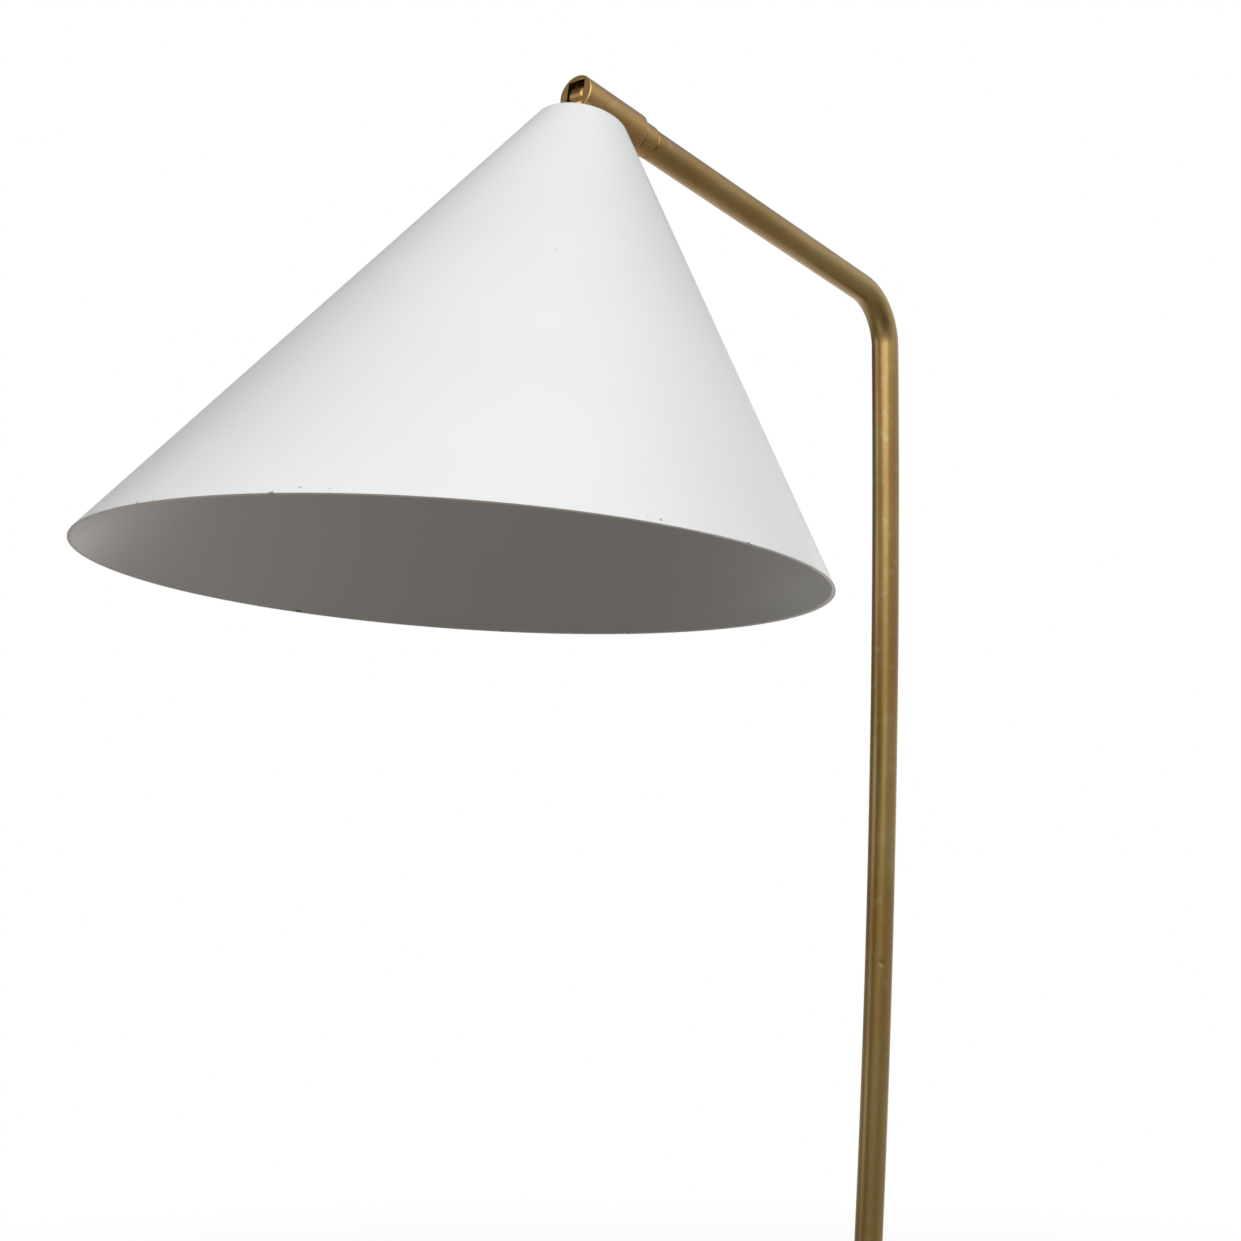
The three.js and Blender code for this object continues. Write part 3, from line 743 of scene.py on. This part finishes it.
def build_shade_fixings():
    hole = NIPPLE_RADIUS + GAP
    gasket_radius = 9.5
    gasket = sleeve("fine_shade_gasket", hole, gasket_radius, washer_low, washer_high, shade_frame, 0.2)
    stand_in(gasket, "shade_gasket", FIBRE)

    inner_radius = 14
    inner_thickness = 1.5
    top = plate_underside - GAP
    inner_washer = sleeve("fine_shade_inner_washer", hole, inner_radius,
                          top - inner_thickness, top, shade_frame, 0.3)
    stand_in(inner_washer, "shade_inner_washer", STEEL)

    nut_across_flats = 15
    nut_height = 4.5
    nut_top = top - inner_thickness - GAP
    nut = hex_nut("fine_shade_lock_nut", nut_across_flats, hole, nut_top - nut_height, nut_top, shade_frame)
    stand_in(nut, "shade_lock_nut", STEEL)


def build_shade():
    """A spun cone with a small flat top. Its rim is trimmed on a slant and slightly thickened."""
    slope = math.tan(SHADE_HALF_ANGLE)
    slant = math.tan(RIM_SLANT)
    side = QUARTER - SHADE_HALF_ANGLE
    hole = NIPPLE_RADIUS + GAP
    steps = 28
    bead = 9                    # the wall thickens over this height
    ease = 0.35                 # the rim's rounding
    rim_band_height = 3             # the rim attribute fades out over this distance from the rim; the chips and a beige edge tone lie in it

    def radius_at(z, inset):
        return (SHADE_APEX - z) * slope - inset / math.cos(SHADE_HALF_ANGLE)

    def shoulder(top, inset, fillet, count):
        z = top - fillet
        return arc(radius_at(z, inset + fillet), z, fillet, QUARTER, QUARTER - side, count)

    def outline(angle):
        lean = slope * slant * math.cos(angle)
        rim_z = (RIM_AT + SHADE_APEX * lean) / (1 + lean)
        outer_top = shoulder(SHADE_TOP, 0, SHADE_FILLET, 10)
        inner_top = shoulder(plate_underside, SHADE_WALL, SHADE_FILLET - 1, 8)
        outer = [(radius_at(z, 0), z) for z in spaced(outer_top[-1][1], rim_z + ease, steps)[1:]]
        heights = spaced(rim_z + ease, rim_z + bead, 8)
        heights += spaced(rim_z + bead, inner_top[-1][1], steps)[1:-1]
        inner = []
        for z in heights:
            blend = max(0, 1 - (z - rim_z) / bead) ** 2
            inner.append((radius_at(z, SHADE_WALL + (RIM_THICKNESS - SHADE_WALL) * blend), z))
        edge = [(radius_at(rim_z, inset), rim_z + lift) for inset, lift in (
            (0.12, 0.08), (0.4, 0), (RIM_THICKNESS - 0.4, 0), (RIM_THICKNESS - 0.12, 0.08))]
        return [
            (hole, SHADE_TOP), *outer_top, *outer, *edge, *inner,
            *reversed(inner_top), (hole, plate_underside),
        ]

    shade = turned("fine_shade", outline, shade_frame, 288)
    mesh = shade.data
    rim = mesh.attributes.new("rim", "FLOAT", "POINT")
    for vertex, stored in zip(mesh.vertices, rim.data):
        point = vertex.co / MM
        above = point.z - RIM_AT - point.x * slant
        stored.value = max(0, 1 - above / rim_band_height)
    stand_in(shade, "shade", PAINT)


# Lampholder and bulb -------------------------------------------------------------------------
cup_top = SHADE_TOP - 11.5
cup_radius = 19
cup_end = cup_top - 36
body_top = cup_top - 9
body_end = cup_top - 66
cavity_top = cup_top - 41
towards_switch = at(shade_frame, z=SWITCH_AT, axis="Y", angle=-QUARTER)


def build_lampholder():
    hole = NIPPLE_RADIUS + GAP
    cup = turned("fine_socket_cup", [
        (hole, cup_top), (11, cup_top), *arc(14, cup_top - 5, 5, QUARTER, 0, 8),
        (cup_radius, cup_end + 2.6), (cup_radius + 0.35, cup_end + 2.2), (cup_radius + 0.35, cup_end + 1.4),
        (cup_radius, cup_end + 1), (cup_radius, cup_end), (cup_radius - 0.8, cup_end),
        *arc(14, cup_top - 5, 4.2, 0, QUARTER, 8), (11, cup_top - 0.8), (hole, cup_top - 0.8),
    ], shade_frame, 96)
    cut(cup, rod("switch_tool", 3.4, 0, 40, towards_switch))
    stand_in(cup, "socket_cup", BRASS)
    cup_nut = hex_nut("fine_socket_cup_nut", 14, hole, cup_top - 5.4, cup_top - 1.2, shade_frame)
    stand_in(cup_nut, "socket_cup_nut", STEEL)

    body = turned("fine_socket_body", rounded([
        (0, body_top), (13, body_top), (16.5, body_top - 3), (17.6, body_top - 6), (17.6, cup_end - 1),
        (cup_radius, cup_end - 1.4), (cup_radius, body_end + 8), (cup_radius - 0.6, body_end + 7.4),
        (cup_radius - 0.6, body_end + 6.2), (cup_radius, body_end + 5.6), (cup_radius, body_end),
        (14.6, body_end), (14.6, cavity_top), (0, cavity_top),
    ], 0.6), shade_frame, 96)
    cut(body, rod("switch_tool", 3, 9, 40, towards_switch))
    stand_in(body, "socket_body", RESIN)

    shell = turned("fine_socket_screw_shell", lambda angle: [
        *threaded(13.9, body_end + 1, cavity_top - 2, 3.6, 0.5, angle), (9, cavity_top - 2),
        (9, cavity_top - 1.4), (14.2, cavity_top - 1.4), (14.2, body_end + 1),
    ], shade_frame, 96)
    stand_in(shell, "socket_screw_shell", NICKEL)
    contact = block("fine_socket_contact", (11, 4.5, 0.5), (0, 0, cavity_top - 0.6), shade_frame)
    join(contact, rod("button_tool", 2.4, cavity_top - 3.2, cavity_top - 0.5, shade_frame, 0.5, 40))
    soften(contact, 0.1)
    stand_in(contact, "socket_contact", NICKEL)

    shaft = rod("fine_switch_shaft", 2.6, 10, 28.5, towards_switch, 0.35, 48)
    stand_in(shaft, "switch_shaft", BRASS)
    knob = turned("fine_switch_knob", knob_outline, towards_switch, 192)
    stand_in(knob, "switch_knob", RESIN)


def knob_outline(angle):
    """Twelve flutes that run out below the domed end."""
    flute = 0.35 * math.cos(12 * angle)
    low, high = 22, 31
    return [
        (2.9, low), (4.9 + 0.5 * flute, low), (5.4 + flute, low + 0.4), (5.6 + flute, low + 1.0),
        *[(5.6 + flute, z) for z in spaced(low + 1.6, high - 1.6, 5)],
        (5.5 + 0.8 * flute, high - 1.0), (5.1 + 0.4 * flute, high - 0.4), (4.5, high - 0.12), (3.6, high),
        (2.2, high - 0.1), (0, high - 0.15), (0, 29.4), (2.9, 29.4),
    ]


def build_bulb():
    tip = cavity_top - 3.5
    cap_top = tip - 3
    cap_end = cap_top - 24
    button = rounded([(0, tip), (3, tip), (4.4, tip - 1.2), (4.4, tip - 2.6), (0, tip - 2.6)], 0.5)
    stand_in(turned("fine_bulb_tip", button, shade_frame, 48), "bulb_tip", NICKEL)
    insulator = sleeve("fine_bulb_insulator", 1, 4.4, cap_top - 2, cap_top - 0.1, shade_frame, 0.3, 48)
    stand_in(insulator, "bulb_insulator", PORCELAIN)
    cap = turned("fine_bulb_cap", lambda angle: [
        (4.8, cap_top), (9.5, cap_top), (11.6, cap_top - 1.4),
        *threaded(13.1, cap_top - 2.6, cap_end + 3, -3.6, 0.75, angle, 10),
        (12.7, cap_end + 1.5), (12.4, cap_end), (11.4, cap_end), (11.4, cap_top - 3), (4.8, cap_top - 2),
    ], shade_frame, 96)
    stand_in(cap, "bulb_cap", NICKEL)

    ball = 30
    ball_at = cap_end - 82 + ball
    blend = 0.62

    def envelope(inset):
        neck = [(12.9, cap_end - GAP), (12.95, cap_end - 2), (13.3, cap_end - 5), (14.3, cap_end - 9.5),
                (16.1, cap_end - 14), (18.6, cap_end - 19), (21.6, cap_end - 25)]
        return [(r - inset, z) for r, z in neck] + arc(0, ball_at, ball - inset, blend, -QUARTER, 40)

    outline = [(max(r, 0), z) for r, z in envelope(0) + envelope(0.9)[::-1]]
    stand_in(turned("fine_bulb_glass", outline, shade_frame, 96), "bulb_glass", OPAL)


# Tripod base ---------------------------------------------------------------------------------
def build_base():
    screw_radius = 2.2
    leg_screw_height = -4
    stem_screw_height = 13
    socket_depth = 60
    tools = []
    for name, angle in LEGS.items():
        place, length = leg_frame(angle)
        tools.append(rod("leg_tool", LEG_RADIUS + GAP, length - socket_depth, length + GAP, place))
        build_leg(name, place, length)
        outward = hub_frame @ Matrix.Rotation(angle, 4, "Z")
        tools.append(rod("screw_tool", screw_radius, 14, HUB_RADIUS + 2,
                         at(outward, z=leg_screw_height, axis="Y", angle=QUARTER), segments=40))
        screw = grub_screw("fine_leg_screw_" + name, screw_radius - GAP, 3,
                           at(outward, x=20.4, z=leg_screw_height, axis="Y", angle=QUARTER))
        stand_in(screw, "leg_screw_" + name, STEEL)

    hub = turned("fine_hub_body", rounded([
        (0, 24), (11.5, 24), (11.5, 21.5), *arc(11.5, 9, 12.5, QUARTER, 0, 16)[1:],
        (HUB_RADIUS, -7), (HUB_RADIUS - 1, -8.5), (13, -22), (11, -24), (0, -24),
    ], 0.6), hub_frame, 144)
    stem_place = at(hub_frame, axis="Y", angle=-stem_heading(HUB_AT))
    stem_screw_place = at(hub_frame, z=stem_screw_height, axis="Y", angle=QUARTER)
    tools += [
        rod("stem_tool", TUBE_RADIUS + GAP, 5 - GAP, 40, stem_place),
        rod("stem_screw_tool", screw_radius, 0, HUB_RADIUS + 6, stem_screw_place),
        rod("bushing_tool", 6.3, -25, -14, hub_frame),
        rod("wire_tool", 3, -20, 8, hub_frame),
    ]
    cut(hub, *tools)
    soften(hub, 0.35)
    stand_in(hub, "hub_body", BRASS)
    stem_screw = grub_screw("fine_stem_set_screw", screw_radius - GAP, 9,
                            at(hub_frame, x=11.6, z=stem_screw_height, axis="Y", angle=QUARTER))
    stand_in(stem_screw, "stem_set_screw", STEEL)
    bushing = turned("fine_cord_bushing", rounded([
        (3.2, -27.5), (8.5, -27.5), (9.5, -26.5), (9.5, -24 - GAP), (6, -24 - GAP), (6, -15), (3.2, -15),
    ], 0.5), hub_frame)
    stand_in(bushing, "cord_bushing", RESIN)


def build_leg(name, place, length):
    pad_top = 10
    bore = LEG_RADIUS - LEG_WALL
    tube = sleeve("fine_leg_tube_" + name, bore, LEG_RADIUS, pad_top + GAP, length, place, 0.25)
    stand_in(tube, "leg_tube_" + name, BRASS)
    ferrule = turned("fine_leg_ferrule_" + name, rounded([
        (LEG_RADIUS + GAP, pad_top + GAP), (FOOT_RADIUS, pad_top + GAP), (FOOT_RADIUS, pad_top + 12.6),
        (LEG_RADIUS + 0.9, pad_top + 14), (LEG_RADIUS + GAP, pad_top + 14),
    ], 0.35), place)
    stand_in(ferrule, "leg_ferrule_" + name, BRASS)

    groove = 5.2
    plug = bore - GAP
    pad = turned("fine_foot_pad_" + name, rounded([
        (0, -9), (FOOT_RADIUS, -9), (FOOT_RADIUS, groove), (FOOT_RADIUS - 0.5, groove + 0.4),
        (FOOT_RADIUS - 0.5, groove + 0.9), (FOOT_RADIUS, groove + 1.3), (FOOT_RADIUS, pad_top),
        (plug, pad_top), (plug, pad_top + 15), (plug - 1, pad_top + 16), (0, pad_top + 16),
    ], 0.5), place)
    cut(pad, block("floor_tool", (80, 80, 40), (0, 0, -20), Matrix.Translation(place.translation)))
    stand_in(pad, "foot_pad_" + name, RUBBER)


# Studio --------------------------------------------------------------------------------------
TOWARDS_CAMERA = Vector((CAMERA_OFFSET.x, CAMERA_OFFSET.y, 0)).normalized()
CAMERA_RIGHT = Vector((math.cos(CAMERA_HEADING), math.sin(CAMERA_HEADING), 0))


def build_camera():
    camera = bpy.data.objects.new("camera", bpy.data.cameras.new("camera"))
    camera.data.lens = CAMERA_LENS
    camera.data.clip_end = 100
    camera.location = corner + CAMERA_OFFSET
    camera.rotation_euler = (QUARTER + CAMERA_PITCH, 0, CAMERA_HEADING)
    bpy.context.scene.collection.objects.link(camera)
    bpy.context.scene.camera = camera


def build_sweep():
    """A pale floor that curves up into a round backdrop, and fades to white with distance. Only the
    camera sees it: the lamp is lit by the world's glows and the key light. Sizes in metres."""
    floor_radius = 5.5
    curve = 3
    wall = 10
    below_feet = 0.2
    outline = [(0, 0)] + [(r, 0) for r in spaced(0.5, floor_radius, 20)]
    outline += arc(floor_radius, curve, curve, -QUARTER, 0, 24)[1:]
    outline += [(floor_radius + curve, wall)]
    segments = 128
    vertices = []
    faces = []
    for k, (radius, z) in enumerate(outline):
        for i in range(segments):
            angle = TURN * i / segments
            point = Vector((radius * math.cos(angle), radius * math.sin(angle), z)) / MM
            vertices.append((point.x, point.y, point.z - below_feet))
            if k:
                j = (i + 1) % segments
                row = (k - 1) * segments
                faces.append((row + i, row + j, row + segments + j, row + segments + i))
    sweep = make_piece("studio_sweep", vertices, faces, Matrix.Identity(4))
    sweep.visible_diffuse = False
    sweep.visible_glossy = False
    sweep.visible_transmission = False
    sweep.visible_shadow = False

    surface = Surface("studio_sweep", Roughness=0.9)
    surface.shader.inputs["Specular IOR Level"].default_value = 0
    split = surface.node("ShaderNodeSeparateXYZ")
    surface.link(surface.place, split.inputs["Vector"])
    x_squared = surface.math("MULTIPLY", split.outputs["X"], split.outputs["X"])
    y_squared = surface.math("MULTIPLY", split.outputs["Y"], split.outputs["Y"])
    from_centre = surface.math("POWER", surface.math("ADD", x_squared, y_squared), 0.5)
    far = surface.spread(from_centre, 1.2, 4.2)
    grain = surface.noise(40, 3)
    surface.colour(surface.mix(surface.spread(grain, 0.3, 0.7), (0.80, 0.80, 0.79), (0.82, 0.82, 0.81)))
    glow = surface.node("ShaderNodeEmission")
    glow.inputs["Color"].default_value = (1, 1, 1, 1)
    blend = surface.node("ShaderNodeMixShader")
    output = [node for node in surface.tree.nodes if node.type == "OUTPUT_MATERIAL"][0]
    surface.link(far, blend.inputs["Fac"])
    surface.link(surface.shader.outputs["BSDF"], blend.inputs[1])
    surface.link(glow.outputs["Emission"], blend.inputs[2])
    surface.link(blend.outputs["Shader"], output.inputs["Surface"])
    sweep.data.materials.append(surface.material)


# The studio's light: soft glows on a far sphere. A heading of 0 is the camera's side of the lamp and
# +90 its right-hand side; a higher tightness makes a smaller glow. Angles in degrees.
GLOWS = (
    # heading, height, tightness, colour
    (0, 0, 0, (0.03, 0.03, 0.03)),
    (40, 40, 8, (1.3, 1.3, 1.3)),
    (0, 72, 6, (0.30, 0.30, 0.30)),
    (70, 45, 5, (0.90, 0.90, 0.90)),
    (90, 12, 6, (0.24, 0.24, 0.24)),
    (140, 12, 8, (0.40, 0.40, 0.40)),
    (-85, 14, 30, (1.1, 1.1, 1.1)),
    (0, -25, 8, (0.09, 0.08, 0.07)),
    (0, -90, 2, (0.20, 0.173, 0.156)),
    (90, -30, 8, (0.16, 0.14, 0.125)),
    (-90, -30, 8, (0.055, 0.05, 0.045)),
    (-135, -20, 10, (0.9, 0.9, 0.9)),
    (180, -30, 6, (0.42, 0.38, 0.35)),
    (180, 5, 12, (0.9, 0.9, 0.9)),
)


def compass(heading, height):
    """The direction from the lamp to a place in the studio."""
    heading = math.radians(heading)
    height = math.radians(height)
    level = math.cos(heading) * TOWARDS_CAMERA + math.sin(heading) * CAMERA_RIGHT
    return math.cos(height) * level + math.sin(height) * Vector((0, 0, 1))


def build_world():
    world = bpy.data.worlds.new("studio")
    bpy.context.scene.world = world
    world.use_nodes = True
    tree = world.node_tree
    direction = tree.nodes.new("ShaderNodeTexCoord").outputs["Generated"]

    def step(kind, operation, *values):
        made = tree.nodes.new(kind)
        made.operation = operation
        for socket, value in zip(made.inputs, values):
            if isinstance(value, bpy.types.NodeSocket):
                tree.links.new(value, socket)
            else:
                socket.default_value = value
        return made.outputs

    total = None
    for heading, height, tightness, colour in GLOWS:
        facing = step("ShaderNodeVectorMath", "DOT_PRODUCT", direction, compass(heading, height))["Value"]
        facing = step("ShaderNodeMath", "MAXIMUM", facing, 0)["Value"]
        amount = step("ShaderNodeMath", "POWER", facing, tightness)["Value"]
        glow = tree.nodes.new("ShaderNodeVectorMath")
        glow.operation = "SCALE"
        glow.inputs["Vector"].default_value = colour
        tree.links.new(amount, glow.inputs["Scale"])
        glow = glow.outputs["Vector"]
        total = step("ShaderNodeVectorMath", "ADD", total, glow)["Vector"] if total else glow
    tree.links.new(total, tree.nodes["Background"].inputs["Color"])
    tree.nodes["Background"].inputs["Strength"].default_value = 1


def softbox(name, direction, distance, width, height, power, target):
    lamp = bpy.data.lights.new(name, "AREA")
    lamp.shape = "RECTANGLE"
    lamp.size = width
    lamp.size_y = height
    lamp.energy = power
    holder = bpy.data.objects.new(name, lamp)
    holder.location = target + direction.normalized() * distance
    holder.rotation_euler = direction.to_track_quat("Z", "Y").to_euler()
    holder.visible_camera = False
    bpy.context.scene.collection.objects.link(holder)


def build_lights():
    """One wide soft key light, aimed at the shade. Sizes in metres, power in watts."""
    shade_middle = corner + arm_axis * 0.2 - Vector((0, 0, 0.15))
    towards_key = TOWARDS_CAMERA - 0.12 * CAMERA_RIGHT + Vector((0, 0, 0.56))
    softbox("key", towards_key, distance=2.4, width=3.0, height=1.8, power=39, target=shade_middle)


bpy.context.scene.view_settings.view_transform = "Standard"
build_camera()
build_stem()
build_swivel()
build_tongue()
build_shade_fixings()
build_shade()
build_lampholder()
build_bulb()
build_base()
build_sweep()
build_world()
build_lights()
